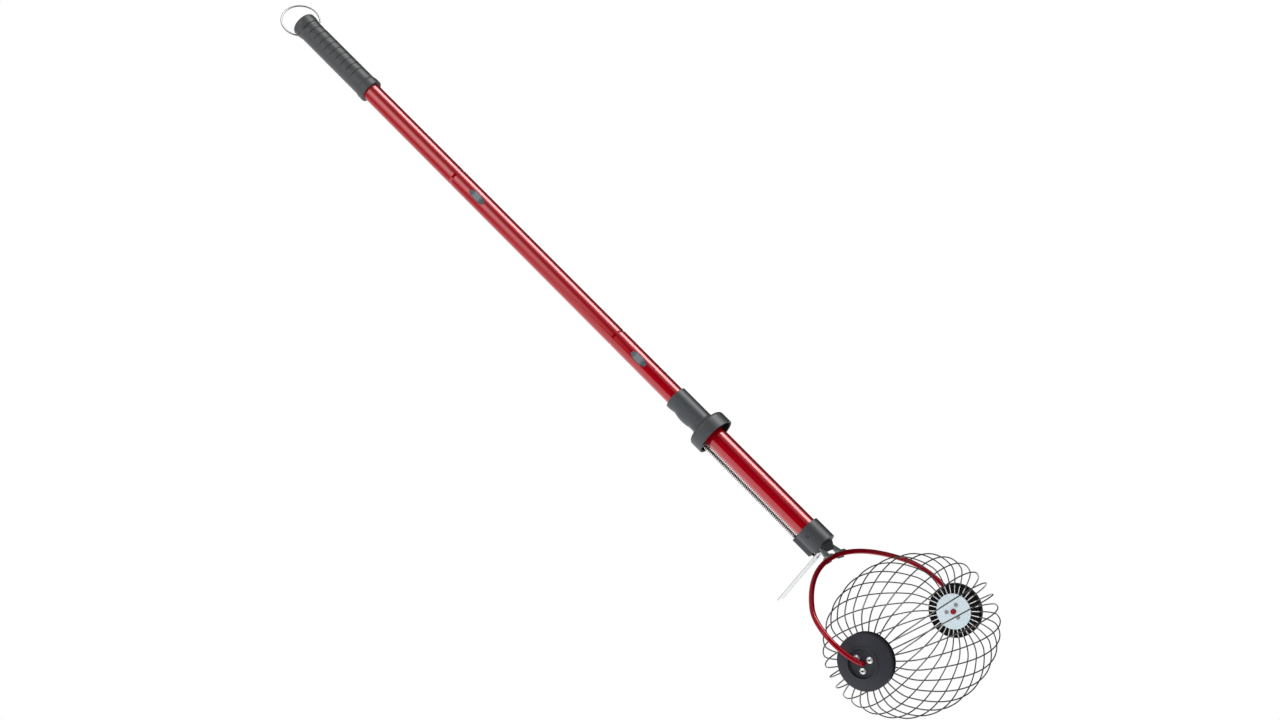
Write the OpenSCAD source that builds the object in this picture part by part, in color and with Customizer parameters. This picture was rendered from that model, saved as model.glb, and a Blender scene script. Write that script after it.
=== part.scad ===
// Rolling nut gatherer: a wire cage on a fork, a knock-down tube handle and a sliding dump collar.
// The handle runs along Z and hangs from the ring, whose inside top is the origin.
// The cage's axle runs along Y, and the dump prong points along -X.

/* [Hanging ring] */
// Mean radius of the ring's loop
ring_r = 26; // [23:0.5:32]
// Diameter of the ring's wire
ring_wire_d = 2.4; // [1.6:0.2:3]
// Turn of the ring about the handle, from the X axis
ring_turn = 53; // [0:1:90]
// Depth of the ring's legs below the grip's closed end
ring_seat = 12; // [9:0.5:16]

/* [Grip] */
// Length of the grip
grip_l = 145; // [130:1:180]
// Diameter of the grip along its middle
grip_d = 31.5; // [30:0.5:33]
// Diameter of the flare at the closed end
grip_flare_d = 34.5; // [33.5:0.5:36]
// Diameter of the lip at the open end
grip_lip_d = 33.6; // [33.2:0.2:35]
// Length of the flare and of the lip
grip_end_l = 9; // [6:0.5:11]
// Thickness of the closed end
grip_cap_t = 4; // [3:0.5:6]
// Number of finger grooves
groove_count = 10; // [4:1:10]
// Spacing of the finger grooves
groove_pitch = 11; // [8:0.5:11.5]
// Width of a finger groove
groove_w = 1.2; // [0.8:0.1:2]
// Depth of a finger groove
groove_depth = 0.9; // [0.4:0.1:1.4]
// Angle that a finger groove runs round the grip
groove_sweep = 166; // [90:2:220]

/* [Handle tubes] */
// Outside diameter of the handle's tubes
tube_d = 25.4; // [24:0.1:26.5]
// Wall of every tube
tube_wall = 1.2; // [1:0.1:1.6]
// Upper tube, from the grip to its joint
upper_l = 178; // [150:1:220]
// Middle tube, from joint to joint
middle_l = 312; // [260:1:360]
// Lower tube, from its joint to the collar
lower_l = 110; // [90:1:140]
// Length of the narrowed end that plugs into the next tube
plug_l = 72; // [60:1:90]
// Length of the taper above that end
plug_taper_l = 3.5; // [2.5:0.5:6]
// Clearance all round between tubes that plug together
slip = 0.05; // [0.03:0.01:0.1]

/* [Lock buttons] */
// Length of a lock button along the handle
button_l = 26; // [20:1:30]
// Width of a lock button
button_w = 9.2; // [7:0.2:10]
// Rise of a lock button above the tube
button_rise = 2.4; // [1.6:0.2:3]
// Distance from a tube joint down to its button
button_drop = 43; // [34:1:48]
// Direction that the buttons face, from the X axis
button_turn = -63; // [-90:1:0]
// Clearance round a button in its hole
button_gap = 0.3; // [0.2:0.05:0.5]

/* [Dump collar] */
// Wall of the collar's neck
neck_wall = 1.1; // [1:0.1:2.5]
// Length of the neck
neck_l = 53; // [46:1:58]
// Diameter of the collar's bell
bell_d = 54; // [52:0.5:58]
// Height of the bell
bell_h = 20; // [18:1:26]
// Wall of the bell
bell_wall = 2.6; // [2:0.2:3]
// Travel of the collar
dump_travel = 12.5; // [8:0.5:13]
// Clearance all round where the collar slides
collar_gap = 0.1; // [0.06:0.02:0.2]

/* [Push rod and spring] */
// Diameter of the push rod
rod_d = 3.2; // [2.6:0.1:3.4]
// Distance of the push rod from the handle's centre
rod_x = 19; // [18.5:0.1:20]
// Outside diameter of the return spring
spring_d = 7.4; // [7:0.1:8]
// Diameter of the spring's wire
spring_wire_d = 1.1; // [0.8:0.1:1.2]
// Number of curls in the spring
spring_turns = 68; // [40:1:70]

/* [Socket] */
// Distance from the bell's mouth to the socket
slide_l = 164; // [140:1:180]
// Diameter of the socket
socket_d = 34.6; // [34:0.2:38]
// Height of the socket, from its top to its flat underside
socket_h = 30; // [29:1:36]
// Depth that the slide tube goes into the socket
socket_depth = 21; // [16:1:21]
// Depth of the socket's wedge below the underside
wedge_h = 10.6; // [10:0.2:12]
// Distance of the wedge's edge in front of the handle's centre
wedge_x = 2; // [1.6:0.2:3]
// Half the length of the wedge's edge
wedge_y = 10; // [9.6:0.2:14]
// Depth of the spring lug below the socket's top
lug_h = 26; // [22:1:26]
// Rise of the spring lug above the socket's top
lug_rise = 2.8; // [0:0.2:4]
// Reach of the spring lug from the handle's centre
lug_reach = 23.4; // [23:0.2:27]
// Width of the spring lug
lug_w = 12.6; // [11:0.2:15]

/* [Fork] */
// Distance from the socket's underside to the fork's top
fork_drop = 19; // [18:0.5:24]
// Diameter of the fork's rod
fork_d = 6.4; // [5.6:0.1:7]
// Distance from the axle to the top of the fork
fork_h = 135; // [132:0.5:150]
// Offset of the fork's top from the handle's centre
fork_x = 0.5; // [0:0.1:1]
// Height of the fork's widest place above the axle
fork_belly_z = 39.9; // [38:0.1:44]
// Radius of the fork's shoulders
shoulder_r = 58; // [50:1:60]
// Radius of the bend into the axle
axle_bend_r = 9; // [7:0.5:11]
// Lean of the fork's ends towards the hubs
fork_lean = 35; // [28:1:35]
// Thickness of the steel bracket
bracket_t = 2; // [1.5:0.1:2.4]
// Reach of the bracket's saddles to each side
bracket_reach = 26; // [23:1:30]
// Angle that each saddle wraps round the fork
saddle_wrap = 205; // [180:5:240]
// Turn of each saddle towards the front
saddle_turn = 75; // [60:5:100]

/* [Prong] */
// Diameter of the prong's wire
prong_d = 3.4; // [3:0.1:3.8]
// Reach of the prong from the handle's centre
prong_reach = 95; // [80:1:96]
// Spacing of the two tines
prong_spacing = 13; // [12:0.2:14]
// Distance from the socket's underside to the tines
tine_drop = 2.5; // [2:0.1:3]
// Diameter of the prong's pin
prong_pin_d = 3; // [2.6:0.1:3.2]
// Distance of the prong's pin from the handle's centre
prong_pin_x = 3.5; // [3.3:0.1:4]

/* [Cage] */
// Number of wires in the cage
wire_count = 30; // [18:2:36]
// Diameter of a cage wire
wire_d = 1.6; // [1.2:0.1:1.8]
// Radius of the cage to the middle of its wires
cage_r = 95.7; // [88:0.5:97]
// Distance between the hubs' inner faces
cage_w = 277; // [260:1:290]
// Radius of the bend beside each hub
wire_bend_r = 30; // [24:1:36]
// Turn of the first wire from the X axis
wire_turn = 3.2; // [0:0.1:12]

/* [Hubs] */
// Diameter of a hub
hub_d = 68.6; // [66:0.2:72]
// Thickness of a hub at its rim
hub_rim_t = 12; // [10:0.5:14]
// Radius of the hub's domed face
hub_dome_r = 75; // [65:1:90]
// Diameter of the raised lip on the hub
hub_lip_d = 37; // [35:0.5:40]
// Depth of the recess inside the lip
hub_recess = 3; // [2:0.25:3.5]
// Diameter of the clamp plate
plate_d = 46; // [44:0.5:50]
// Thickness of the clamp plate
plate_t = 1.6; // [1.2:0.1:2.4]
// Number of hub screws
screw_count = 3; // [3:1:4]
// Radius of the circle that the hub screws lie on
screw_circle_r = 9.4; // [9.2:0.1:10]
// Turn of the first hub screw from the X axis
screw_turn = 99; // [0:1:120]
// Diameter of a hub screw
screw_d = 5; // [4:0.1:5]

/* [Hidden] */
$fn = 64;

// Overrun of every cut, and the lap and swell where bent wire is joined
over = 1;
lap = 0.4;
swell = 0.02;
// Clearances: a running pin, two pieces fixed together, and a free gap
run_gap = 0.05;
fix_gap = 0.02;
free_gap = 0.3;

// Ring and grip
ring_gap = 1.4;
leg_reach = grip_flare_d / 2 + ring_wire_d / 2 + ring_gap;
ring_lift = sqrt(ring_r * ring_r - leg_reach * leg_reach);
ring_z = ring_wire_d / 2 - ring_r;
leg_z = ring_z - ring_lift;
leg_inner_share = 0.6;
leg_in = leg_inner_share * tube_d / 2;
grip_top = leg_z + ring_seat;
grip_low = grip_top - grip_l;
grip_round = 3.5;
lip_ramp_share = 1.5;
groove_first = 15;

// Heights of the tube joints and of the collar
joint1_z = grip_low - upper_l;
joint2_z = joint1_z - middle_l;
collar_top = joint2_z - lower_l;
bell_rim = collar_top - neck_l - bell_h;
upper_button_z = joint1_z - button_drop;
lower_button_z = joint2_z - button_drop;
tube_r = tube_d / 2;
bore_r = tube_r - tube_wall;
plug_r = bore_r - slip;
tube_edge = 0.5;
slide_r = tube_r + slip + tube_wall;
lower_plug_l = 60;

// Lock buttons
button_floor_share = 0.47;
button_floor = button_floor_share * tube_r;
button_flange_t = 1.8;
button_flange_share = 1.18;
button_flat_share = 0.3;
button_side_share = 0.46;
button_eaves = 0.3;
clip_t = 0.8;
clip_w = 6.4;
clip_l = 44;

// Collar
collar_lip = 4;
collar_overlap = 20;
slide_top = collar_top - collar_overlap;
neck_r = slide_r + collar_gap + neck_wall;
roof_share = 2.4;
bell_roof = bell_rim + bell_h - roof_share * bell_wall;
bell_round = 5;
neck_fillet = 7;
swell_drop = [1, 27];
swell_shift = [1.4, 2];
swell_bow = 50;
swell_l = 28;
rod_sink = 4;

// Socket, with a wedge under it that slopes to the front, to both sides and up to the lug
socket_top = bell_rim - slide_l;
socket_low = socket_top - socket_h;
slide_low = socket_top - socket_depth;
lug_low = socket_top - lug_h;
lug_high = socket_top + lug_rise;
lug_round = 2.5;
wedge_low = socket_low - wedge_h;
wedge_front_run = 3.5;
wedge_back_run = 16.8;
wedge_front = wedge_x + wedge_front_run;
wedge_back = wedge_x - wedge_back_run;
rivet_d = 3;
rivet_head_d = 4.4;
rivet_head_t = 0.9;
rivet_drop = 10.5;
rivet_z = socket_top - rivet_drop;
rivet_seat_d = rivet_head_d + 2 * free_gap;
rivet_seat = sqrt(socket_d * socket_d - rivet_seat_d * rivet_seat_d) / 2 - fix_gap;

// Prong, with an eye on the end of each tine, and the foot of the push rod over its crossbar
tine_z = socket_low - tine_drop;
tine_y = prong_spacing / 2;
eye_r = prong_pin_d / 2 + run_gap + prong_d / 2 + swell;
eye_out = eye_r + prong_d / 2 + swell;
slot_w = prong_d + 2 * (swell + free_gap);
slot_top = tine_z + eye_out + free_gap;
slot_front = eye_out + free_gap - prong_pin_x;
pin_seat = 3;
pin_in = tine_y + slot_w / 2 + pin_seat;
pin_out = wedge_y + (socket_d / 2 - wedge_y) * (1 - tine_drop / wedge_h) - over;
crossbar_share = 0.8;
crossbar_d = crossbar_share * prong_d;
foot_d = crossbar_share * rod_d;
foot_l = 6.4;
rod_tip_gap = 0.4;
rod_tip = tine_z + crossbar_d / 2 + rod_tip_gap;

// Hubs, seen along the axle from the inner face out
hub_y = cage_w / 2;
hub_r = hub_d / 2;
dome_base = hub_rim_t - sqrt(hub_dome_r * hub_dome_r - hub_r * hub_r);
lip_r = hub_lip_d / 2;
lip_a = dome_base + sqrt(hub_dome_r * hub_dome_r - lip_r * lip_r);
lip_round = 1.5;
hub_floor = lip_a - hub_recess;
hub_bore_r = fork_d / 2 + run_gap;
groove_in_share = 0.8;
wire_groove_w = wire_d + 2 * (swell + fix_gap) + run_gap;
wire_groove_r = groove_in_share * plate_d / 2;
screw_head_d = 8;
screw_head_t = 2.4;
screw_dome_r = 7;
screw_key_d = 3;
screw_key_t = 1.4;
screw_end = 0.8;

// Cage wires: a straight end in its groove, a tight bend and a long bow, tangent to each other
wire_a = hub_y + wire_groove_w / 2;
wire_stub = 1.7;
wire_out = hub_r + wire_stub;
bow_rise = cage_r - wire_out;
bow_r = (wire_a * wire_a - 2 * wire_a * wire_bend_r + bow_rise * bow_rise)
    / (2 * (bow_rise - wire_bend_r));
bow_turn = atan2(wire_a - wire_bend_r, wire_out - cage_r + bow_r);

// Fork: one long arch with a shoulder, a leaning end, a bend and an axle on each side
fork_tilt = asin(fork_x / fork_h);
fork_top_z = socket_low - fork_drop;
axle_z = fork_top_z - fork_h * cos(fork_tilt);
fork_bend = 90 - fork_lean;
axle_start = hub_y + hub_floor + free_gap;
axle_proud = 2.4;
axle_end = hub_y - plate_t - axle_proud;
fork_corner = axle_start + axle_bend_r * tan(fork_bend / 2);
lean_top = fork_belly_z - shoulder_r * sin(fork_lean);
fork_w = fork_corner + lean_top * tan(fork_lean) + shoulder_r * (1 - cos(fork_lean));
arm_y = fork_w - shoulder_r;
arm_z = fork_belly_z - fork_h;
arm_r = (arm_y * arm_y + arm_z * arm_z - shoulder_r * shoulder_r)
    / (2 * (fork_h - fork_belly_z - shoulder_r));
arm_turn = atan2(arm_z + arm_r, arm_y);

// Bracket: a plate over the fork, with a saddle on each side and two straps up into the socket
saddle_r = fork_d / 2 + fix_gap;
saddle_out = saddle_r + bracket_t;
saddle_mid = saddle_r + bracket_t / 2;
bracket_x = fork_x - bracket_t / 2;
strap_share = 0.94;
strap_out = strap_share * socket_d / 2;
strap_wall = 1.2;
strap_in = tine_y + slot_w / 2 + strap_wall;
strap_flare = 2;
bridge_low = slot_top + free_gap;
bridge_h = 5;
bracket_top = bridge_low + bridge_h;
function arch_fall(y) = arm_r - sqrt(arm_r * arm_r - y * y);

// Return spring: one unbroken helix with a short straight run at each end
spring_low = lug_high + free_gap / 3;
spring_high = bell_roof - free_gap / 3;
spring_mean_r = (spring_d - spring_wire_d) / 2;
spring_steps = 8;
spring_sides = 6;
spring_bend_share = 0.5;
spring_rise = spring_high - spring_low - 2 * spring_wire_d;
function spring_point(i) = let (a = 360 * i / spring_steps) [
    spring_mean_r * cos(a) - rod_x,
    spring_mean_r * sin(a),
    spring_low + spring_wire_d + spring_rise * i / (spring_steps * spring_turns)
];
function spring_out(i) = [cos(360 * i / spring_steps), sin(360 * i / spring_steps), 0];
spring_last = spring_steps * spring_turns;
spring_points = [for (i = [0 : spring_last]) spring_point(i)];
spring_gap = min([
    for (i = [0 : spring_last - spring_steps], k = [spring_steps / 2 : spring_steps * 3 / 2])
        if (i + k <= spring_last) norm(spring_points[i + k] - spring_points[i])
]) - spring_wire_d;
echo(spring_least_gap = spring_gap);

red = "#8f0a18";
dark_grey = "#55585c";
black = "#2c2e33";
steel = "#8d9092";
bright = "#d5d8da";

// Bar that is bent to an arc of radius r in the XY plane, from one angle on
module bent_bar(r, d, from, sweep) {
    rotate([0, 0, from])
        rotate_extrude(angle = sweep, $fn = 96)
            translate([r, 0])
                circle(d = d, $fn = 32);
}

// Straight bar along X
module straight_bar(d, l) {
    rotate([0, 90, 0])
        cylinder(d = d, h = l, $fn = 32);
}

// Angle that a bar of radius r laps its neighbour by
function lap_angle(r) = lap / r * 180 / PI;

module hanging_ring() {
    leg_angle = asin(ring_lift / ring_r);
    color(steel)
        translate([0, 0, leg_z])
            rotate([90, 0, ring_turn]) {
                translate([0, ring_lift, 0])
                    bent_bar(ring_r, ring_wire_d + 2 * swell, -leg_angle, 180 + 2 * leg_angle);
                for (s = [0, 1])
                    mirror([s, 0, 0])
                        translate([leg_in, 0, 0])
                            straight_bar(ring_wire_d, leg_reach - leg_in + ring_wire_d / 4);
            }
}

// Cross hole for the ring's legs
module leg_hole(gap) {
    translate([-grip_flare_d, 0, leg_z])
        straight_bar(ring_wire_d + 2 * gap, 2 * grip_flare_d);
}

module grip_outline() {
    grip_r = grip_d / 2;
    flare_r = grip_flare_d / 2;
    lip_end_r = grip_lip_d / 2;
    polygon([
        [0, grip_low],
        [lip_end_r - tube_edge, grip_low],
        [lip_end_r, grip_low + tube_edge],
        [lip_end_r, grip_low + grip_end_l],
        [grip_r, grip_low + lip_ramp_share * grip_end_l],
        [grip_r, grip_top - 2 * grip_end_l],
        [flare_r, grip_top - grip_end_l],
        [flare_r, grip_top - grip_round],
        [flare_r - grip_round, grip_top],
        [0, grip_top]
    ]);
    translate([flare_r - grip_round, grip_top - grip_round])
        circle(grip_round);
}

module grip() {
    color(dark_grey)
        difference() {
            rotate_extrude()
                grip_outline();
            translate([0, 0, grip_low - over])
                cylinder(r = tube_r + fix_gap, h = grip_l - grip_cap_t + over);
            for (k = [0 : groove_count - 1])
                translate([0, 0, grip_top - groove_first - k * groove_pitch])
                    rotate([0, 0, -groove_sweep / 2])
                        rotate_extrude(angle = groove_sweep)
                            translate([grip_d / 2 - groove_depth, -groove_w / 2])
                                square([grip_flare_d - grip_d + groove_depth, groove_w]);
            rotate([0, 0, ring_turn])
                leg_hole(run_gap);
        }
}

// Handle tube from top to joint, with a narrowed end that plugs into the tube below
module plug_tube(top, joint, plug) {
    rotate_extrude()
        polygon([
            [bore_r, top],
            [tube_r - tube_edge, top],
            [tube_r, top - tube_edge],
            [tube_r, joint + plug_taper_l],
            [plug_r, joint],
            [plug_r, joint - plug],
            [plug_r - tube_wall, joint - plug],
            [plug_r - tube_wall, joint],
            [bore_r, joint + plug_taper_l]
        ]);
}

// Long hexagon of a lock button, drawn across the tube and along it
module button_plan(grow) {
    half_w = button_w / 2 + grow;
    half_l = button_l / 2 + grow;
    polygon([
        [half_l, -button_side_share * half_w],
        [half_l, button_side_share * half_w],
        [button_side_share * half_l, half_w],
        [-button_side_share * half_l, half_w],
        [-half_l, button_side_share * half_w],
        [-half_l, -button_side_share * half_w],
        [-button_side_share * half_l, -half_w],
        [button_side_share * half_l, -half_w]
    ]);
}

// Frame of a lock button: Z points out of the tube, and X points down the handle
module at_button(z) {
    translate([0, 0, z])
        rotate([0, 0, button_turn])
            rotate([0, 90, 0])
                children();
}

module button_hole(z) {
    at_button(z)
        linear_extrude(tube_d)
            button_plan(button_gap);
}

module lock_button(z) {
    top = tube_r + button_rise;
    half_l = button_l / 2;
    at_button(z) {
        intersection() {
            translate([0, 0, button_floor])
                linear_extrude(top - button_floor)
                    button_plan(0);
            rotate([90, 0, 0])
                translate([0, 0, -button_w])
                    linear_extrude(2 * button_w)
                        polygon([
                            [-half_l, button_floor - over],
                            [half_l, button_floor - over],
                            [half_l, tube_r - button_eaves],
                            [button_flat_share * half_l, top],
                            [-button_flat_share * half_l, top],
                            [-half_l, tube_r - button_eaves]
                        ]);
        }
        translate([0, 0, button_floor])
            linear_extrude(button_flange_t)
                square([button_l, button_w] * button_flange_share, center = true);
    }
}

// Bowed steel strip that holds a lock button out: one leg under the button, one on the far wall
module lock_spring(z) {
    wall = plug_r - tube_wall - free_gap;
    far_leg = sqrt(wall * wall - clip_w * clip_w / 4) - clip_t;
    bow = (button_floor + far_leg + clip_t) / 2;
    at_button(z)
        rotate([90, 0, 0])
            translate([0, 0, -clip_w / 2])
                linear_extrude(clip_w) {
                    translate([-clip_l, button_floor - clip_t])
                        square([clip_l + button_l / 4, clip_t]);
                    translate([-clip_l, -far_leg - clip_t])
                        square([clip_l + button_l / 4, clip_t]);
                    translate([-clip_l, button_floor - bow])
                        intersection() {
                            difference() {
                                circle(bow);
                                circle(bow - clip_t);
                            }
                            translate([-bow, -bow])
                                square([bow, 2 * bow]);
                        }
                }
}

module upper_tube() {
    color(red)
        difference() {
            plug_tube(grip_top - grip_cap_t, joint1_z, plug_l);
            button_hole(upper_button_z);
            rotate([0, 0, ring_turn])
                leg_hole(free_gap);
        }
}

module upper_lock_button() {
    color(dark_grey)
        lock_button(upper_button_z);
}

module upper_lock_spring() {
    color(steel)
        lock_spring(upper_button_z);
}

module middle_tube() {
    color(red)
        difference() {
            plug_tube(joint1_z, joint2_z, plug_l);
            button_hole(upper_button_z);
            button_hole(lower_button_z);
        }
}

module lower_lock_button() {
    color(dark_grey)
        lock_button(lower_button_z);
}

module lower_lock_spring() {
    color(steel)
        lock_spring(lower_button_z);
}

module lower_tube() {
    low = slide_top - lower_plug_l;
    color(red)
        difference() {
            rotate_extrude()
                polygon([
                    [bore_r, joint2_z],
                    [tube_r - tube_edge, joint2_z],
                    [tube_r, joint2_z - tube_edge],
                    [tube_r, low],
                    [bore_r, low]
                ]);
            button_hole(lower_button_z);
        }
}

module slide_tube() {
    color(red)
        difference() {
            translate([0, 0, slide_low])
                cylinder(r = slide_r, h = slide_top - slide_low);
            translate([0, 0, slide_low - over])
                cylinder(r = slide_r - tube_wall, h = slide_top - slide_low + 2 * over);
            rivet_hole();
        }
}

module collar_outline() {
    bell_r = bell_d / 2;
    shoulder = bell_rim + bell_h;
    translate([0, bell_rim])
        square([neck_r, neck_l + bell_h]);
    translate([0, bell_rim])
        square([bell_r, bell_h - bell_round]);
    translate([0, shoulder - bell_round])
        square([bell_r - bell_round, bell_round]);
    translate([bell_r - bell_round, shoulder - bell_round])
        circle(bell_round);
    difference() {
        translate([0, shoulder])
            square([neck_r + neck_fillet, neck_fillet]);
        translate([neck_r + neck_fillet, shoulder + neck_fillet])
            circle(neck_fillet);
    }
}

// Barrel on the spring side of the neck, where a finger rests
module neck_swell(k) {
    translate([-swell_shift[k], 0, collar_top - swell_drop[k]])
        rotate_extrude()
            intersection() {
                translate([neck_r - swell_bow, 0])
                    circle(swell_bow);
                translate([0, -swell_l / 2])
                    square([neck_r, swell_l]);
            }
}

module slide_collar() {
    color(dark_grey)
        difference() {
            union() {
                rotate_extrude()
                    collar_outline();
                intersection() {
                    union()
                        for (k = [0, 1])
                            neck_swell(k);
                    translate([-bell_d, -bell_d, bell_rim + bell_h])
                        cube([2 * bell_d, 2 * bell_d, neck_l]);
                }
            }
            translate([0, 0, bell_rim - over])
                cylinder(r = slide_r + collar_gap, h = bell_h + neck_l - collar_lip + over);
            translate([0, 0, bell_rim])
                cylinder(r = tube_r + collar_gap, h = bell_h + neck_l + over);
            translate([0, 0, bell_rim - over])
                cylinder(r = bell_d / 2 - bell_wall, h = bell_roof - bell_rim + over);
            translate([-rod_x, 0, bell_roof - over])
                cylinder(d = rod_d + 2 * fix_gap, h = rod_sink + free_gap + over);
        }
}

// Rod with a foot at its lower end that presses on the prong's crossbar
module push_rod() {
    foot_z = rod_tip + foot_d / 2;
    color(bright)
        translate([-rod_x, 0, 0]) {
            translate([0, 0, foot_z])
                cylinder(d = rod_d, h = bell_roof + rod_sink - foot_z);
            translate([0, 0, foot_z])
                sphere(d = foot_d);
            translate([0, 0, foot_z])
                straight_bar(foot_d, foot_l);
        }
}

module return_spring() {
    n = spring_last;
    rise = spring_rise / n;
    turn_l = 2 * PI * spring_mean_r / spring_steps;
    path = concat(
        [spring_points[0] - [0, 0, spring_wire_d]],
        spring_points,
        [spring_points[n] + [0, 0, spring_wire_d]]
    );
    flat = [
        for (j = [0 : n + 2])
            (j == 0 || j == n + 2) ? 1 : (j == 1 || j == n + 1) ? spring_bend_share : 0
    ];
    ring_points = [
        for (j = [0 : n + 2], k = [0 : spring_sides - 1])
            let (
                i = min(max(j - 1, 0), n),
                out = spring_out(i),
                along = [-out[1] * turn_l * (1 - flat[j]), out[0] * turn_l * (1 - flat[j]),
                    rise + flat[j] * turn_l],
                side = cross(along / norm(along), out),
                a = 360 * k / spring_sides
            )
            path[j] + spring_wire_d / 2 * (cos(a) * out + sin(a) * side)
    ];
    last = (n + 2) * spring_sides;
    faces = concat(
        [
            for (j = [0 : n + 1], k = [0 : spring_sides - 1], half = [0, 1])
                let (
                    a = j * spring_sides + k,
                    b = j * spring_sides + (k + 1) % spring_sides
                )
                half == 0 ? [a, b, a + spring_sides] : [b, b + spring_sides, a + spring_sides]
        ],
        [for (k = [1 : spring_sides - 2]) [0, k + 1, k]],
        [for (k = [1 : spring_sides - 2]) [last, last + k, last + k + 1]]
    );
    color(bright)
        polyhedron(ring_points, faces);
}

// Cross hole for the rivet that holds the slide tube in the socket
module rivet_hole() {
    translate([0, socket_d, rivet_z])
        rotate([90, 0, 0])
            cylinder(d = rivet_d + 2 * fix_gap, h = 2 * socket_d);
}

module lug_plan() {
    translate([-lug_reach + lug_round, -lug_w / 2])
        square([lug_reach - lug_round, lug_w]);
    translate([-lug_reach, -lug_w / 2 + lug_round])
        square([lug_reach, lug_w - 2 * lug_round]);
    for (s = [-1, 1])
        translate([-lug_reach + lug_round, s * (lug_w / 2 - lug_round)])
            circle(lug_round);
}

// Space below the socket's end: flat in front, a wedge in the middle and a slope up to the lug
module socket_end() {
    translate([0, socket_d, 0])
        rotate([90, 0, 0])
            linear_extrude(2 * socket_d)
                polygon([
                    [-socket_d, lug_low],
                    [wedge_back, lug_low],
                    [wedge_x, wedge_low],
                    [wedge_front, socket_low],
                    [socket_d, socket_low],
                    [socket_d, wedge_low - over],
                    [-socket_d, wedge_low - over]
                ]);
    for (s = [0, 1])
        mirror([0, s, 0])
            translate([-socket_d, 0, 0])
                rotate([90, 0, 90])
                    linear_extrude(2 * socket_d)
                        polygon([
                            [wedge_y, wedge_low - over],
                            [wedge_y, wedge_low],
                            [socket_d / 2, socket_low],
                            [socket_d, socket_low],
                            [socket_d, wedge_low - over]
                        ]);
}

// Slots in the socket's end: one for each tine's eye, and one that takes the bracket
module socket_slots() {
    floor_z = wedge_low - over;
    for (s = [0, 1])
        mirror([0, s, 0]) {
            translate([-socket_d, tine_y - slot_w / 2, floor_z])
                cube([socket_d + slot_front, slot_w, slot_top - floor_z]);
            translate([bracket_x - fix_gap, strap_in - fix_gap, floor_z])
                cube([bracket_t + 2 * fix_gap, socket_d, socket_low - floor_z]);
            translate([bracket_x - fix_gap, strap_in - fix_gap, floor_z])
                cube([bracket_t + 2 * fix_gap, strap_out - strap_in + 2 * fix_gap, bracket_top - floor_z]);
        }
    translate([bracket_x - fix_gap, -strap_in - over, bridge_low - fix_gap])
        cube([bracket_t + 2 * fix_gap, 2 * (strap_in + over), bridge_h + fix_gap]);
}

module socket() {
    color(dark_grey)
        difference() {
            union() {
                translate([0, 0, wedge_low])
                    cylinder(d = socket_d, h = socket_top - wedge_low);
                translate([0, 0, lug_low])
                    linear_extrude(lug_high - lug_low)
                        lug_plan();
            }
            socket_end();
            socket_slots();
            translate([0, 0, slide_low])
                cylinder(r = slide_r + fix_gap, h = lug_high - slide_low + over);
            translate([-rod_x, 0, lug_low - over])
                cylinder(d = rod_d + 2 * collar_gap, h = lug_high - lug_low + 2 * over);
            for (s = [0, 1])
                mirror([0, s, 0])
                    translate([0, rivet_seat, rivet_z])
                        rotate([-90, 0, 0])
                            cylinder(d = rivet_seat_d, h = socket_d);
            translate([-prong_pin_x, socket_d, tine_z])
                rotate([90, 0, 0])
                    cylinder(d = prong_pin_d + 2 * fix_gap, h = socket_d + pin_in);
            rivet_hole();
        }
}

module socket_rivet() {
    color(steel)
        translate([0, 0, rivet_z])
            rotate([90, 0, 0]) {
                    translate([0, 0, -rivet_seat - rivet_head_t / 2])
                        cylinder(d = rivet_d, h = 2 * rivet_seat + rivet_head_t);
                    for (s = [0, 1])
                        mirror([0, 0, s])
                            translate([0, 0, rivet_seat])
                                cylinder(d1 = rivet_head_d, d2 = rivet_d, h = rivet_head_t);
                }
}

// Half of the bracket's plate, drawn across the handle and along it
module bracket_half() {
    foot_z = fork_top_z + saddle_mid;
    polygon([
        [-lap, bracket_top],
        [strap_out, bracket_top],
        [strap_out, socket_low],
        [bracket_reach - strap_flare, fork_top_z + saddle_out],
        [bracket_reach - strap_flare, foot_z - arch_fall(bracket_reach)],
        [strap_in, foot_z - arch_fall(strap_in)],
        [strap_in, bridge_low],
        [-lap, bridge_low]
    ]);
}

// Saddle over one arm of the fork, drawn in the fork's own plane
module saddle() {
    from = asin(strap_in / arm_r);
    to = asin(bracket_reach / arm_r);
    translate([0, fork_h - arm_r, 0])
        rotate([0, 0, 90 - to])
            rotate_extrude(angle = to - from)
                translate([arm_r, 0])
                    rotate([0, 0, saddle_turn - saddle_wrap])
                        saddle_section();
}

// Section of a saddle: a ring cut off outside the angle that it wraps
module saddle_section() {
    size = 2 * saddle_out;
    difference() {
        circle(saddle_out);
        circle(saddle_r);
        intersection() {
            translate([-size, -size])
                square([2 * size, size]);
            rotate([0, 0, saddle_wrap])
                translate([-size, 0])
                    square([2 * size, size]);
        }
    }
}

// Frame of the fork: X along the axle, Y up the handle
module at_fork() {
    translate([0, 0, axle_z])
        rotate([90, 0, 90])
            rotate([fork_tilt, 0, 0])
                children();
}

module fork_bracket() {
    color(steel) {
        for (s = [0, 1])
            mirror([0, s, 0])
                translate([bracket_x, 0, 0])
                    rotate([90, 0, 90])
                        linear_extrude(bracket_t)
                            bracket_half();
        at_fork()
            for (s = [0, 1])
                mirror([s, 0, 0])
                    saddle();
    }
}

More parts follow.
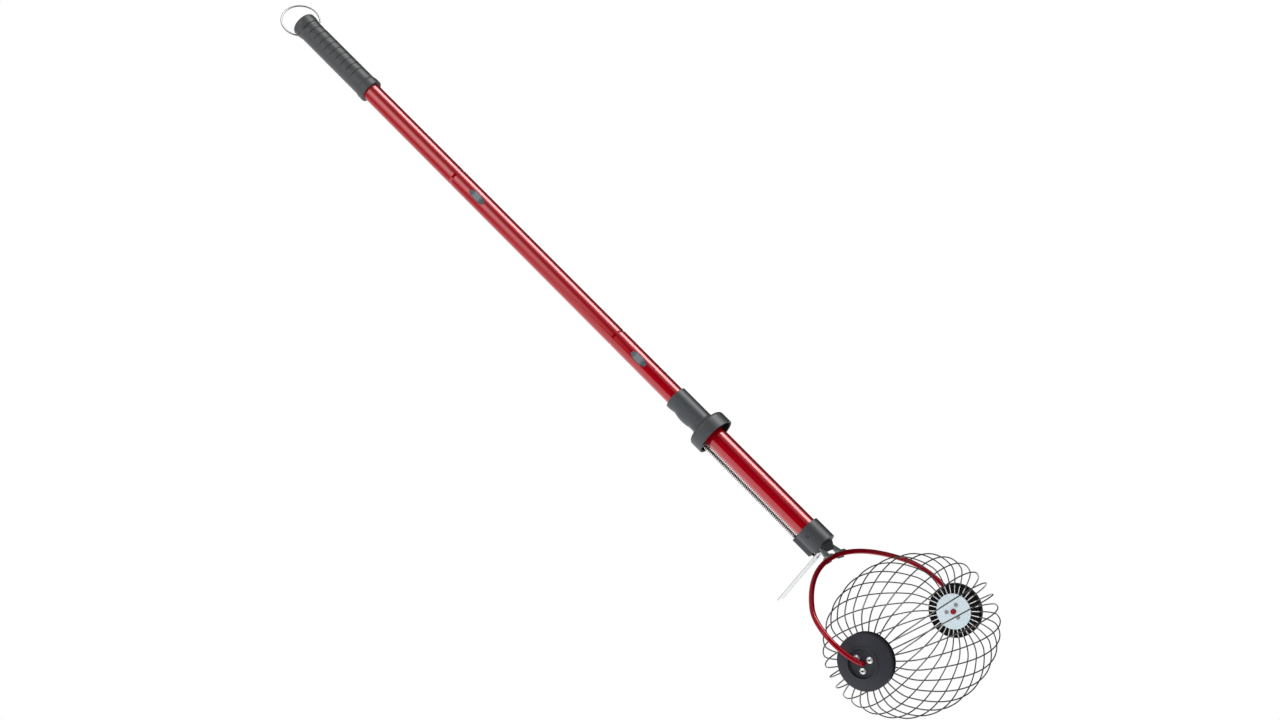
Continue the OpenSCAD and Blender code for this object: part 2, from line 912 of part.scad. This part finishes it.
// Lower end of the fork on one side: axle, bend, leaning end and shoulder
module fork_half() {
    lean_l = (lean_top - axle_bend_r * (1 - sin(fork_lean))) / cos(fork_lean);
    translate([axle_end, 0, 0])
        straight_bar(fork_d, axle_start - axle_end + lap);
    translate([axle_start, axle_bend_r, 0])
        bent_bar(axle_bend_r, fork_d + 2 * swell, -90, fork_bend);
    translate([axle_start + axle_bend_r * cos(fork_lean), axle_bend_r * (1 - sin(fork_lean)), 0])
        rotate([0, 0, 90 - fork_lean])
            translate([-lap, 0, 0])
                straight_bar(fork_d, lean_l + 2 * lap);
    translate([fork_w - shoulder_r, fork_belly_z, 0])
        bent_bar(shoulder_r, fork_d + 2 * swell, -fork_lean, arm_turn + fork_lean);
}

module fork() {
    arch_from = arm_turn - lap_angle(arm_r);
    color(red)
        at_fork() {
            for (s = [0, 1])
                mirror([s, 0, 0])
                    fork_half();
            translate([0, fork_h - arm_r, 0])
                bent_bar(arm_r, fork_d, arch_from, 180 - 2 * arch_from);
        }
}

// One tine: an eye on the pin and a straight wire with a bevelled tip
module tine() {
    tine_l = prong_reach - prong_pin_x;
    translate([-prong_pin_x, 0, tine_z])
        rotate([90, 0, 0]) {
            bent_bar(eye_r, prong_d + 2 * swell, 0, 360);
            rotate([0, -90, 0])
                rotate_extrude()
                    polygon([
                        [0, eye_r],
                        [prong_d / 2, eye_r],
                        [prong_d / 2, tine_l - prong_d / 4],
                        [prong_d / 4, tine_l],
                        [0, tine_l]
                    ]);
        }
}

module prong() {
    color(bright) {
        for (s = [-1, 1])
            translate([0, s * tine_y, 0])
                tine();
        translate([-rod_x, tine_y, tine_z])
            rotate([90, 0, 0])
                cylinder(d = crossbar_d, h = prong_spacing);
    }
}

// Pin that is driven in from one side of the socket
module prong_pin() {
    color(steel)
        translate([-prong_pin_x, pin_out, tine_z])
            rotate([90, 0, 0])
                cylinder(d = prong_pin_d, h = pin_out + pin_in - fix_gap);
}

// Frame of a hub: Z points out along the axle from the hub's inner face
module at_hub(side) {
    translate([0, side * hub_y, axle_z])
        rotate([-side * 90, 0, 0])
            children();
}

module hub_outline() {
    difference() {
        union() {
            intersection() {
                translate([0, dome_base])
                    circle(hub_dome_r, $fn = 256);
                square([hub_r, hub_rim_t + hub_dome_r]);
            }
            translate([lip_r, lip_a])
                circle(lip_round);
        }
        translate([0, hub_floor])
            square([lip_r - lip_round / 2, hub_dome_r]);
        translate([-hub_dome_r, -hub_dome_r])
            square([hub_dome_r, 2 * hub_dome_r]);
    }
}

module on_screw_circle() {
    for (k = [0 : screw_count - 1])
        rotate([0, 0, screw_turn + 360 * k / screw_count])
            translate([screw_circle_r, 0, 0])
                children();
}

module hub(side) {
    color(black)
        at_hub(side)
            difference() {
                rotate_extrude()
                    hub_outline();
                translate([0, 0, -over])
                    cylinder(r = hub_bore_r, h = hub_floor + 2 * over);
                translate([0, 0, -over])
                    on_screw_circle()
                        cylinder(d = screw_d + 2 * run_gap, h = hub_floor + 2 * over);
                for (k = [0 : wire_count - 1])
                    rotate([0, 0, -side * (wire_turn + 360 * k / wire_count)])
                        translate([wire_groove_r, -wire_groove_w / 2, -over])
                            cube([hub_r, wire_groove_w, wire_groove_w + over]);
            }
}

module left_hub() {
    hub(-1);
}

module right_hub() {
    hub(1);
}

module plate(side) {
    color(bright)
        at_hub(side)
            difference() {
                translate([0, 0, -plate_t])
                    cylinder(d = plate_d, h = plate_t);
                translate([0, 0, -plate_t - over])
                    cylinder(r = hub_bore_r + free_gap, h = plate_t + 2 * over);
                translate([0, 0, -plate_t - over])
                    on_screw_circle()
                        cylinder(d = screw_d + 2 * fix_gap, h = plate_t + 2 * over);
            }
}

module left_plate() {
    plate(-1);
}

module right_plate() {
    plate(1);
}

// Three domed screws, with their heads in the recess and their ends through the plate
module screws(side) {
    color(bright)
        at_hub(side)
            on_screw_circle() {
                translate([0, 0, -plate_t - screw_end])
                    cylinder(d = screw_d, h = hub_floor + plate_t + screw_end);
                translate([0, 0, hub_floor])
                    difference() {
                        intersection() {
                            cylinder(d = screw_head_d, h = screw_head_t);
                            translate([0, 0, screw_head_t - screw_dome_r])
                                sphere(screw_dome_r);
                        }
                        translate([0, 0, screw_head_t - screw_key_t])
                            cylinder(d = screw_key_d, h = screw_key_t + over, $fn = 6);
                    }
            }
}

module left_screws() {
    screws(-1);
}

module right_screws() {
    screws(1);
}

// One wire of the cage, drawn in the XY plane with the axle along Y
module cage_wire() {
    for (s = [0, 1])
        mirror([0, s, 0]) {
            translate([wire_groove_r + fix_gap, wire_a, 0])
                straight_bar(wire_d, wire_out - wire_groove_r + lap);
            translate([wire_out, wire_a - wire_bend_r, 0])
                bent_bar(wire_bend_r, wire_d + 2 * swell, bow_turn, 90 - bow_turn);
        }
    translate([cage_r - bow_r, 0, 0])
        bent_bar(bow_r, wire_d, -bow_turn - lap_angle(bow_r), 2 * (bow_turn + lap_angle(bow_r)));
}

module cage_wires() {
    color(steel)
        translate([0, 0, axle_z])
            for (k = [0 : wire_count - 1])
                rotate([0, -wire_turn - 360 * k / wire_count, 0])
                    cage_wire();
}

hanging_ring();
grip();
upper_tube();
upper_lock_button();
upper_lock_spring();
middle_tube();
lower_lock_button();
lower_lock_spring();
lower_tube();
slide_tube();
slide_collar();
push_rod();
return_spring();
socket();
socket_rivet();
fork_bracket();
fork();
prong();
prong_pin();
left_hub();
right_hub();
left_plate();
right_plate();
left_screws();
right_screws();
cage_wires();
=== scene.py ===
# Nut gatherer: a rolling wire cage on a fork, with a knock-down tube handle and a sprung dump collar.
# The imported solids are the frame. Each section finishes one piece, from the ring down to the cage.
import math

import bpy
from mathutils import Matrix, Vector


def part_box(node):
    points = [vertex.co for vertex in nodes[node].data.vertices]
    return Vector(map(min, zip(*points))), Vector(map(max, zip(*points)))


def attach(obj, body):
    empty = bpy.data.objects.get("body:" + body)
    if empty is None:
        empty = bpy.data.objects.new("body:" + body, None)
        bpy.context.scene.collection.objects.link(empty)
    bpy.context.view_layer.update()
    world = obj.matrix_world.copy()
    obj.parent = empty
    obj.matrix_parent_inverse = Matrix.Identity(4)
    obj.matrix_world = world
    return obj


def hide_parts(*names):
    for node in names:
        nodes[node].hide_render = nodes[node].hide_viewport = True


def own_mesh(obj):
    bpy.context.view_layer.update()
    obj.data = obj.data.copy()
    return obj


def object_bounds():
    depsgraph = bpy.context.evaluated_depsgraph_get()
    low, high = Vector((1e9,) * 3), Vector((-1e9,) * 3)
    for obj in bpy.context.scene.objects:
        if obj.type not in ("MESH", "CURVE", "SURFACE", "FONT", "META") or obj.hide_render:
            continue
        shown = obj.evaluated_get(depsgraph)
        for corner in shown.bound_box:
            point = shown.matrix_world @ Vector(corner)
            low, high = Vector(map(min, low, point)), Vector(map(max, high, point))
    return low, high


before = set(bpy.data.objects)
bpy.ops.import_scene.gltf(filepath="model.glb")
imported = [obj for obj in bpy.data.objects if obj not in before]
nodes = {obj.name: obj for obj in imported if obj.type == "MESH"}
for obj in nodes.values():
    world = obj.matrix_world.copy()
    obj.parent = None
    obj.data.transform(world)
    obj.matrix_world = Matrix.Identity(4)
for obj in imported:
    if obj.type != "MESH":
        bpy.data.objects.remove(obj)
cad_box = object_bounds()


# The view: the tool seen from its right and a little from below, rolled so that the handle runs
# from the top left to the bottom right. The camera stands 2.8 m off with a short telephoto lens.
CAMERA_PLACE = Vector((1.1337, -2.4885, -1.5309))
CAMERA_RIGHT = Vector((0.5599, 0.4789, -0.6762))
CAMERA_UP = Vector((0.7275, 0.1066, 0.6778))
CAMERA_LENS = 63.13
CAMERA_SENSOR = 36.0

camera = bpy.data.objects.new("camera", bpy.data.cameras.new("camera"))
camera.data.lens = CAMERA_LENS
camera.data.sensor_width = CAMERA_SENSOR
camera_back = CAMERA_RIGHT.cross(CAMERA_UP).normalized()
camera_up = camera_back.cross(CAMERA_RIGHT).normalized()
camera_turn = Matrix((CAMERA_RIGHT.normalized(), camera_up, camera_back)).transposed()
camera.matrix_world = Matrix.Translation(CAMERA_PLACE) @ camera_turn.to_4x4()
bpy.context.collection.objects.link(camera)
bpy.context.scene.camera = camera
bpy.context.scene.view_settings.view_transform = "Standard"


# Hanging ring: one length of hard-drawn steel wire bent to a loop. Its two short legs spring into
# a cross hole near the grip's closed end, so the ring swings over the end of the handle.
RING_WIRE_COLOUR = (0.40, 0.40, 0.39)


def finish(name, colour, roughness, metal=0.0, vary=0.12, patch=40.0, grain=0.0, grain_size=0.001):
    """A shaded finish: colour and roughness drift in patches, and a fine grain roughens the skin."""
    material = bpy.data.materials.new(name)
    material.use_nodes = True
    tree = material.node_tree
    shader = tree.nodes["Principled BSDF"]
    shader.inputs["Metallic"].default_value = metal
    place = tree.nodes.new("ShaderNodeTexCoord")
    patches = tree.nodes.new("ShaderNodeTexNoise")
    patches.inputs["Scale"].default_value = patch
    patches.inputs["Detail"].default_value = 4.0
    tree.links.new(place.outputs["Object"], patches.inputs["Vector"])
    tint = tree.nodes.new("ShaderNodeMix")
    tint.data_type = "RGBA"
    tint.inputs["A"].default_value = (*[c * (1 - vary) for c in colour], 1)
    tint.inputs["B"].default_value = (*[min(1, c * (1 + vary)) for c in colour], 1)
    tree.links.new(patches.outputs["Fac"], tint.inputs["Factor"])
    tree.links.new(tint.outputs["Result"], shader.inputs["Base Color"])
    sheen = tree.nodes.new("ShaderNodeMapRange")
    sheen.inputs["To Min"].default_value = max(0.02, roughness * (1 - vary))
    sheen.inputs["To Max"].default_value = min(1.0, roughness * (1 + vary))
    tree.links.new(patches.outputs["Fac"], sheen.inputs["Value"])
    tree.links.new(sheen.outputs["Result"], shader.inputs["Roughness"])
    if grain:
        specks = tree.nodes.new("ShaderNodeTexNoise")
        specks.inputs["Scale"].default_value = 1 / grain_size
        specks.inputs["Detail"].default_value = 3.0
        tree.links.new(place.outputs["Object"], specks.inputs["Vector"])
        bump = tree.nodes.new("ShaderNodeBump")
        bump.inputs["Strength"].default_value = grain
        bump.inputs["Distance"].default_value = grain_size / 4
        tree.links.new(specks.outputs["Fac"], bump.inputs["Height"])
        tree.links.new(bump.outputs["Normal"], shader.inputs["Normal"])
    return material


def wear(node, material):
    """Gives a node of the frame its finish."""
    mesh = nodes[node].data
    mesh.materials.clear()
    mesh.materials.append(material)


drawn_steel = finish("drawn_steel", RING_WIRE_COLOUR, roughness=0.34, metal=1.0, vary=0.18,
                     patch=220.0, grain=0.1)
wear("hanging_ring", drawn_steel)


# Grip: a soft rubber sleeve, closed at its top, pushed over the tube. Ten finger grooves run round
# the side that the palm holds, and a thick lip stops the hand.
GRIP_COLOUR = (0.060, 0.063, 0.066)
grip_rubber = finish("grip_rubber", GRIP_COLOUR, roughness=0.44, patch=60.0, grain=0.15,
                     grain_size=0.0007)
wear("grip", grip_rubber)


# Handle tubes: thin steel tubes in a deep gloss red enamel. The upper three plug into each other,
# and the lowest, wider one carries the sliding collar.
ENAMEL_COLOUR = (0.40, 0.0012, 0.009)


def enamel(name, colour, gloss):
    """A baked red enamel under a clear gloss coat."""
    material = finish(name, colour, roughness=0.30, metal=0.3, vary=0.05, patch=18.0)
    shader = material.node_tree.nodes["Principled BSDF"]
    shader.inputs["Specular IOR Level"].default_value = 0.0
    shader.inputs["Coat Weight"].default_value = gloss
    shader.inputs["Coat Roughness"].default_value = 0.03
    shader.inputs["Coat IOR"].default_value = 1.7
    return material


tube_enamel = enamel("tube_enamel", ENAMEL_COLOUR, gloss=1.0)
for tube in ("upper_tube", "middle_tube", "lower_tube", "slide_tube"):
    wear(tube, tube_enamel)


# Lock buttons: moulded grey plastic lozenges that lock the tubes together, each painted paler round
# its middle as a highlight. A bowed steel strip inside the narrowed end holds each one out.
BUTTON_COLOUR = (0.095, 0.115, 0.135)
PAINTED_HIGHLIGHT_COLOUR = (0.190, 0.225, 0.245)
HIGHLIGHT_REACH = 0.008
ALONG_HANDLE = (0, 0, 1)
STRIP_COLOUR = (0.45, 0.45, 0.44)


def middle_of(node):
    """The middle of a node's box at rest."""
    low, high = (Vector(corner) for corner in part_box(node))
    return (low + high) / 2


def fade(material, middle, across, edge, colour, run=0.001):
    """Gives a finish another colour within a distance of a point, measured across some axes."""
    tree = material.node_tree
    base = tree.nodes["Principled BSDF"].inputs["Base Color"]
    place = tree.nodes.new("ShaderNodeTexCoord")
    steps = (("SUBTRACT", middle), ("MULTIPLY", across), ("LENGTH", None))
    came = place.outputs["Object"]
    for operation, amount in steps:
        step = tree.nodes.new("ShaderNodeVectorMath")
        step.operation = operation
        tree.links.new(came, step.inputs[0])
        if amount:
            step.inputs[1].default_value = amount
        came = step.outputs["Value" if operation == "LENGTH" else "Vector"]
    zone = tree.nodes.new("ShaderNodeMapRange")
    zone.inputs["From Min"].default_value = edge - run
    zone.inputs["From Max"].default_value = edge
    tree.links.new(came, zone.inputs["Value"])
    blend = tree.nodes.new("ShaderNodeMix")
    blend.data_type = "RGBA"
    blend.inputs["A"].default_value = (*colour, 1)
    tree.links.new(base.links[0].from_socket, blend.inputs["B"])
    tree.links.new(zone.outputs["Result"], blend.inputs["Factor"])
    tree.links.new(blend.outputs["Result"], base)


strip_steel = finish("strip_steel", STRIP_COLOUR, roughness=0.3, metal=1.0, patch=80.0)
for place in ("upper", "lower"):
    button = f"{place}_lock_button"
    button_plastic = finish(f"{place}_button_plastic", BUTTON_COLOUR, roughness=0.34, vary=0.10,
                            patch=150.0)
    # Painted highlight: each button is paler round its middle, fading out along the handle.
    fade(button_plastic, middle_of(button), ALONG_HANDLE, HIGHLIGHT_REACH, PAINTED_HIGHLIGHT_COLOUR,
         run=HIGHLIGHT_REACH / 2)
    wear(button, button_plastic)
    strip = bpy.data.objects.new(f"{place}_bowed_strip", nodes[f"{place}_lock_spring"].data.copy())
    strip.data.materials.clear()
    strip.data.materials.append(strip_steel)
    bpy.context.collection.objects.link(strip)
    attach(strip, "handle")
    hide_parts(f"{place}_lock_spring")
    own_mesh(strip)


# Dump collar: one satin grey moulding that slides on the lowest tube. Its neck has swells for the
# hand. Its bell covers the top of the spring, holds the push rod, and is painted near-black inside as
# shade.
COLLAR_COLOUR = (0.052, 0.058, 0.064)
BELL_SHADE_COLOUR = (0.004, 0.004, 0.004)
BELL_SHADE_RISE = 0.8
collar_low, collar_high = (Vector(corner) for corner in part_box("slide_collar"))
bell_mouth = Vector((0, 0, collar_low.z))
collar_plastic = finish("collar_plastic", COLLAR_COLOUR, roughness=0.42, vary=0.05, patch=45.0,
                        grain=0.02)
# Painted shade: the bell goes near-black inside, within its own width of the mouth.
fade(collar_plastic, bell_mouth, (1, 1, 1 / BELL_SHADE_RISE), collar_high.x, BELL_SHADE_COLOUR)
wear("slide_collar", collar_plastic)


# Push rod and return spring: a dark rod, set in the collar, inside a bright spring of hard steel wire
# that stands on the socket's lug. The spring is wound here with a round wire.
ROD_COLOUR = (0.055, 0.057, 0.060)
SPRING_COLOUR = (0.88, 0.88, 0.87)
SPRING_WIRE = 0.0011
SPRING_WIRE_SIDES = 10
SPRING_CURLS = 68
SPRING_STEPS = 24
rod_steel = finish("rod_steel", ROD_COLOUR, roughness=0.38, metal=0.7, vary=0.15, patch=120.0)
wear("push_rod", rod_steel)
spring_steel = finish("spring_steel", SPRING_COLOUR, roughness=0.2, metal=0.8, vary=0.08, patch=300.0)


def bar_mesh(name, paths, radius, sides):
    """A mesh of round bars, one along each path of points, with flat ends."""
    points = []
    faces = []
    for path in paths:
        first = len(points)
        last = len(path) - 1
        side = None
        for i, place in enumerate(path):
            along = (path[min(i + 1, last)] - path[max(i - 1, 0)]).normalized()
            if side is None:
                side = along.orthogonal().normalized()
            side = (side - along * side.dot(along)).normalized()
            other = along.cross(side)
            for k in range(sides):
                turn = 2 * math.pi * k / sides
                points.append(place + radius * (math.cos(turn) * side + math.sin(turn) * other))
        for i in range(last):
            for k in range(sides):
                a = first + i * sides + k
                b = first + i * sides + (k + 1) % sides
                faces.append((a, b, b + sides, a + sides))
        faces.append(tuple(first + k for k in reversed(range(sides))))
        faces.append(tuple(first + last * sides + k for k in range(sides)))
    mesh = bpy.data.meshes.new(name)
    mesh.from_pydata(points, [], faces)
    for face in mesh.polygons:
        face.use_smooth = len(face.vertices) == 4
    bars = bpy.data.objects.new(name, mesh)
    bpy.context.collection.objects.link(bars)
    return bars


spring_low, spring_high = (Vector(corner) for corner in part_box("return_spring"))
spring_middle = middle_of("return_spring")
spring_r = (spring_high.x - spring_low.x) / 2 - SPRING_WIRE / 2
spring_rise = spring_high.z - spring_low.z - 2 * SPRING_WIRE
spring_path = []
for i in range(SPRING_CURLS * SPRING_STEPS + 1):
    turn = 2 * math.pi * i / SPRING_STEPS
    height = SPRING_WIRE + spring_rise * i / (SPRING_CURLS * SPRING_STEPS)
    out = Vector((math.cos(turn), math.sin(turn), 0)) * spring_r
    spring_path.append(Vector((spring_middle.x, spring_middle.y, spring_low.z + height)) + out)
spring = bar_mesh("wound_spring", [spring_path], SPRING_WIRE / 2, SPRING_WIRE_SIDES)
spring.data.materials.append(spring_steel)
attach(spring, "handle")
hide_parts("return_spring")
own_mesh(spring)


# Socket: a darker grey moulding on the foot of the slide tube, with a lug under the spring and a
# wedge at its end. A blackened steel rivet through it holds the tube.
SOCKET_COLOUR = (0.046, 0.051, 0.058)
RIVET_COLOUR = (0.05, 0.054, 0.06)
socket_plastic = finish("socket_plastic", SOCKET_COLOUR, roughness=0.42, vary=0.05, patch=45.0,
                        grain=0.02)
wear("socket", socket_plastic)
wear("socket_rivet", finish("rivet_steel", RIVET_COLOUR, roughness=0.45, metal=0.5, patch=200.0))


# Fork bracket: pressed from steel sheet, with a flat tang up inside the socket and two saddles
# closed over the fork. It is plated a dull grey-green.
BRACKET_COLOUR = (0.28, 0.315, 0.305)
bracket_steel = finish("bracket_steel", BRACKET_COLOUR, roughness=0.36, metal=0.75, vary=0.15,
                       patch=70.0, grain=0.1)
wear("fork_bracket", bracket_steel)


# Fork: one steel rod bent to an arch, in a thinner coat of the tubes' red enamel. The bracket
# grips its crown, and its two ends are turned in to be the cage's axle.
FORK_COLOUR = (0.32, 0.0012, 0.011)
wear("fork", enamel("fork_enamel", FORK_COLOUR, gloss=0.35))


# Prong: two bright tines and a crossbar, bent and welded from zinc-plated wire. It swings on a
# plain pin that is driven through the socket.
ZINC_COLOUR = (0.84, 0.86, 0.87)
zinc = finish("zinc", ZINC_COLOUR, roughness=0.22, metal=0.6, vary=0.06, patch=90.0)
wear("prong", zinc)
wear("prong_pin", zinc)


# Hubs: domed black mouldings with a raised lip round a recess, and grooves for the wires' ends.
# A steel plate clamps the wires inside each hub, and three socket screws hold it.
HUB_COLOUR = (0.036, 0.037, 0.046)
GROOVE_SHADE_COLOUR = (0.002, 0.002, 0.002)
PLATE_COLOUR = (0.70, 0.82, 0.88)
SCREW_COLOUR = (0.86, 0.87, 0.88)
SCREW_TIP_COLOUR = (0.30, 0.30, 0.30)
HUB_GLOSS = 0.12
GROOVE_DEPTH = 0.006
ALONG_AXLE = (0, 1, 0)
ROUND_AXLE = (1, 0, 1)
cage_middle = middle_of("cage_wires")
hub_low, hub_high = (Vector(corner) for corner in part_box("right_hub"))
hub_r = (hub_high.x - hub_low.x) / 2
hub_plastic = finish("hub_plastic", HUB_COLOUR, roughness=0.42, vary=0.10, patch=45.0, grain=0.06)
hub_shader = hub_plastic.node_tree.nodes["Principled BSDF"]
hub_shader.inputs["Specular IOR Level"].default_value = HUB_GLOSS
# Painted shade: each hub's inner side, out to a groove's depth, is near-black as the shade in the
# grooves.
fade(hub_plastic, cage_middle, ALONG_AXLE, hub_low.y + GROOVE_DEPTH, GROOVE_SHADE_COLOUR)
plate_steel = finish("plate_steel", PLATE_COLOUR, roughness=0.30, metal=0.3, vary=0.06, patch=60.0)
screw_steel = finish("screw_steel", SCREW_COLOUR, roughness=0.25, metal=0.6, vary=0.06, patch=90.0)
fade(screw_steel, cage_middle, ALONG_AXLE, hub_low.y, SCREW_TIP_COLOUR)
for side in ("left", "right"):
    wear(f"{side}_hub", hub_plastic)
    wear(f"{side}_plate", plate_steel)
    wear(f"{side}_screws", screw_steel)

# The screws' key sockets are painted black inside as shade: a short black bar sits in the floor of
# each socket.
KEY_SHADE_COLOUR = (0.004, 0.004, 0.004)
SCREW_CIRCLE_R = 0.0094
SCREW_TURN = math.radians(99)
SCREWS_PER_HUB = 3
KEY_R = 0.0013
KEY_SIDES = 12
KEY_DEPTH = 0.0011
KEY_FLOOR = 0.0004
key_paths = []
for end in (-1, 1):
    head_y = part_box("left_screws" if end < 0 else "right_screws")[0 if end < 0 else 1][1]
    for k in range(SCREWS_PER_HUB):
        turn = SCREW_TURN + 2 * math.pi * k / SCREWS_PER_HUB
        key_x = SCREW_CIRCLE_R * math.cos(turn)
        key_z = cage_middle.z - end * SCREW_CIRCLE_R * math.sin(turn)
        depths = (head_y - end * deep for deep in (KEY_DEPTH, KEY_FLOOR))
        key_paths.append([Vector((key_x, depth, key_z)) for depth in depths])
key_socket_shade = bar_mesh("key_socket_shade", key_paths, KEY_R, KEY_SIDES)
key_socket_shade.data.materials.append(finish("key_shade", KEY_SHADE_COLOUR, roughness=0.7, patch=300.0))
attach(key_socket_shade, "cage")


# Cage wires: thirty spring-steel wires, bowed from hub to hub. They are dark from the tempering oil,
# and they are coloured bright within the hubs' radius of the axle.
WIRE_COLOUR = (0.12, 0.12, 0.12)
WIRE_END_COLOUR = (0.90, 0.90, 0.89)
cage_steel = finish("cage_steel", WIRE_COLOUR, roughness=0.25, metal=0.35, vary=0.1, patch=120.0)
fade(cage_steel, cage_middle, ROUND_AXLE, hub_r, WIRE_END_COLOUR)
wear("cage_wires", cage_steel)


# Floor and light: a pale floor half a metre under the cage, in a white room with one tall soft
# lamp on the right that only gloss shows. None of it is part of the tool.
FLOOR_COLOUR = (0.86, 0.86, 0.86)
FLOOR_SIZE = 14.0
FLOOR_DROP = 0.5
floor_z = cad_box[0][2] - FLOOR_DROP
bpy.ops.mesh.primitive_plane_add(size=FLOOR_SIZE, location=(0, 0, floor_z))
floor = bpy.context.object
floor.name = "floor"
floor_paint = finish("floor_paint", FLOOR_COLOUR, roughness=0.9, vary=0.01, patch=2.0)
floor.data.materials.append(floor_paint)
floor.visible_diffuse = False
floor.visible_glossy = False

# Gloss shows a room with a white wall on the left, a white strip on the right, a window high up
# behind the camera, and dark between them. All else gets a softer light. Each row gives a bearing
# in degrees, from the X axis towards Y, and the brightness there.
ROOM_LOW = ((-180, 1.2), (-118, 1.2), (-104, 0.0), (-46, 0.0), (-26, 0.4), (-10, 0.9), (10, 1.2),
            (26, 0.9), (40, 0.35), (58, 0.0), (108, 0.0), (118, 1.2))
ROOM_HIGH = ((-180, 0.7), (-148, 0.45), (-128, 0.05), (-82, 2.8), (-46, 0.05), (-26, 0.4), (-10, 0.9),
             (10, 1.2), (26, 0.9), (40, 0.35), (58, 0.0), (108, 0.0), (118, 1.0))
ROOM_STEP = (0.29, 0.38)
ROOM_OVERHEAD = 0.4
OVERHEAD_FROM = (0.56, 0.75)
SOFT_LIGHT = ((-180, 1.2), (-110, 1.3), (-65, 1.1), (-20, 0.4), (20, 0.3), (60, 0.3), (100, 0.4),
              (140, 0.9))

world = bpy.data.worlds.new("studio")
bpy.context.scene.world = world
world.use_nodes = True
world.cycles.sampling_method = "NONE"
sky = world.node_tree
sky.nodes.clear()


def sky_node(kind, **inputs):
    """A node of the room, with the named sockets set or linked."""
    node = sky.nodes.new(kind)
    for name, value in inputs.items():
        socket = node.inputs[name.replace("_", " ")]
        if hasattr(value, "links"):
            sky.links.new(value, socket)
        else:
            socket.default_value = value
    return node


def room_band(bearing, rows):
    """Brightness of the room round the horizon. The first row is at -180 degrees."""
    band = sky_node("ShaderNodeValToRGB", Fac=bearing)
    stops = band.color_ramp.elements
    stops.remove(stops[-1])
    for row, (degrees, level) in enumerate(rows):
        stop = stops.new((degrees + 180) / 360) if row else stops[0]
        stop.color = (level, level, level, 1)
    return band.outputs["Color"]


def rising(height, low_high):
    """How far a height has passed from one level to another."""
    low, high = low_high
    return sky_node("ShaderNodeMapRange", Value=height, From_Min=low, From_Max=high).outputs[0]


def mixed(share, first, second):
    """A blend of two colours of the room."""
    return sky_node("ShaderNodeMixRGB", Fac=share, Color1=first, Color2=second).outputs[0]


way = sky_node("ShaderNodeSeparateXYZ", Vector=sky_node("ShaderNodeTexCoord").outputs["Generated"])
turn = sky.nodes.new("ShaderNodeMath")
turn.operation = "ARCTAN2"
sky.links.new(way.outputs["Y"], turn.inputs[0])
sky.links.new(way.outputs["X"], turn.inputs[1])
bearing = rising(turn.outputs[0], (-math.pi, math.pi))
height = way.outputs["Z"]
walls = mixed(rising(height, ROOM_STEP), room_band(bearing, ROOM_LOW), room_band(bearing, ROOM_HIGH))
room = mixed(rising(height, OVERHEAD_FROM), walls, (ROOM_OVERHEAD, ROOM_OVERHEAD, ROOM_OVERHEAD, 1))
rays = sky_node("ShaderNodeLightPath").outputs
light = mixed(rays["Is Glossy Ray"], room_band(bearing, SOFT_LIGHT), room)
lit = sky_node("ShaderNodeBackground", Color=light)
seen = sky_node("ShaderNodeBackground", Color=(1, 1, 1, 1))
through = sky.nodes.new("ShaderNodeMath")
through.operation = "MAXIMUM"
sky.links.new(rays["Is Camera Ray"], through.inputs[0])
sky.links.new(rays["Is Transmission Ray"], through.inputs[1])
pick = sky.nodes.new("ShaderNodeMixShader")
sky.links.new(through.outputs[0], pick.inputs["Fac"])
sky.links.new(lit.outputs[0], pick.inputs[1])
sky.links.new(seen.outputs[0], pick.inputs[2])
sky_node("ShaderNodeOutputWorld", Surface=pick.outputs[0])


# The lamp is a tall soft panel to the right of the handle, with its middle above the ring.
LAMP_PLACE = Vector((2.55, 0.5, 0.4))
LAMP_AIM = Vector((0, 0, 0.4))
LAMP_WIDTH = 1.4
LAMP_HEIGHT = 2.6
LAMP_POWER = 74.0
key_strip = bpy.data.lights.new("key_strip", "AREA")
key_strip.shape = "RECTANGLE"
key_strip.size = LAMP_WIDTH
key_strip.size_y = LAMP_HEIGHT
key_strip.energy = LAMP_POWER
lamp = bpy.data.objects.new("key_strip", key_strip)
lamp.location = LAMP_PLACE
lamp.rotation_euler = (LAMP_AIM - LAMP_PLACE).to_track_quat("-Z", "Y").to_euler()
lamp.visible_camera = False
lamp.visible_diffuse = False
bpy.context.collection.objects.link(lamp)
